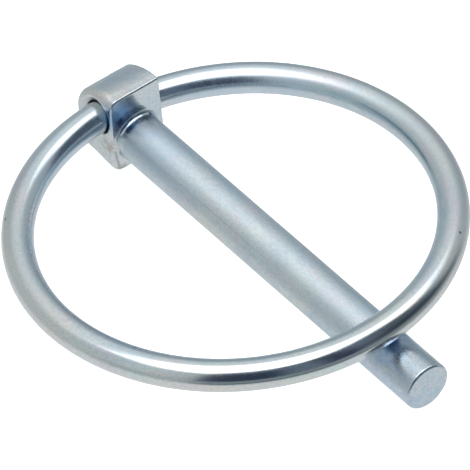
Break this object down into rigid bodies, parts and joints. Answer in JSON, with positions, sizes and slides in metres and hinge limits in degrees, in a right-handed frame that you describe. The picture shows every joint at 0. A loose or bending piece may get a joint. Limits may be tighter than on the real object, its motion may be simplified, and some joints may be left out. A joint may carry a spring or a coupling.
{
  "type": "linch pin",
  "caption": "Linch pin: a plain round shank on a small block head, with a sprung wire ring through the head that folds over and snaps shut across the shank near its tip.",
  "frame": {"origin": "on the shank's axis, in the bearing face of the head", "axes": "+X along the shank towards its tip, +Z the side that the ring closes on, which is up as it lies, and +Y across"},
  "size_m": [0.0604, 0.0542, 0.0111],
  "materials": {
    "pin": "satin blue-white zinc plate over cold-forged steel",
    "ring": "bright blue-white zinc plate over drawn spring wire"
  },
  "bodies": {
    "pin": {"pin": "pin"},
    "ring": {"spring_ring": "ring"}
  },
  "joints": [
    {"name": "ring_pivot", "type": "hinge", "parent": "pin", "child": "ring", "pos_m": [-0.0028, 0, 0.0023], "axis": [0, -0.9816, 0.1908], "range_deg": [0, 348]}
  ]
}
